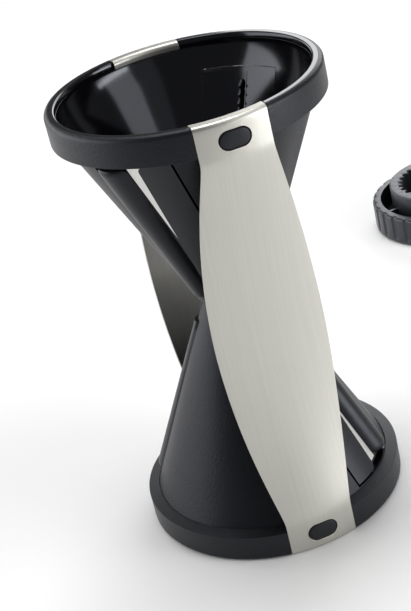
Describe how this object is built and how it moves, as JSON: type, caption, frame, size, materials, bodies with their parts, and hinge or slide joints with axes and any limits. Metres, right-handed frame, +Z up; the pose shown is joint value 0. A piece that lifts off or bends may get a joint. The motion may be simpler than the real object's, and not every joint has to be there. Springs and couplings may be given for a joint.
{
  "type": "spiral vegetable slicer",
  "caption": "Hourglass hand twist slicer: two bladed plastic funnels joined at a waist and held by bowed steel bands, with a separate toothed food holder.",
  "frame": {"origin": "on the slicer's axis, in the plane that it stands on", "axes": "+Z up along the slicer's axis, -Y towards the front band, +X to the right of it"},
  "size_m": [0.203, 0.2044, 0.138],
  "materials": {
    "body_plastic": "fine texture outside, polished inside",
    "rim_plastic": "fine texture",
    "band_steel": "brushed along its length",
    "stud_plastic": "smooth matte",
    "carrier_plastic": "smooth satin",
    "blade_steel": "ground",
    "holder_plastic": "fine texture"
  },
  "bodies": {
    "slicer": {"upper_funnel": "body_plastic", "lower_funnel": "body_plastic", "upper_rim": "rim_plastic", "base_rim": "rim_plastic", "front_band": "band_steel", "rear_band": "band_steel", "front_top_stud": "stud_plastic", "front_base_stud": "stud_plastic", "rear_top_stud": "stud_plastic", "rear_base_stud": "stud_plastic", "upper_left_carrier": "carrier_plastic", "upper_left_blade": "blade_steel", "upper_left_comb": "blade_steel", "upper_right_carrier": "carrier_plastic", "upper_right_blade": "blade_steel", "upper_right_comb": "blade_steel", "lower_left_carrier": "carrier_plastic", "lower_left_blade": "blade_steel", "lower_left_comb": "blade_steel", "lower_right_carrier": "carrier_plastic", "lower_right_blade": "blade_steel", "lower_right_comb": "blade_steel"},
    "holder": {"holder_cap": "holder_plastic", "holder_sleeve": "holder_plastic"}
  },
  "joints": [
    {"name": "holder_lift", "type": "slide", "parent": "slicer", "child": "holder", "axis": [0, 0, 1], "range_m": [0, 0.12]}
  ]
}
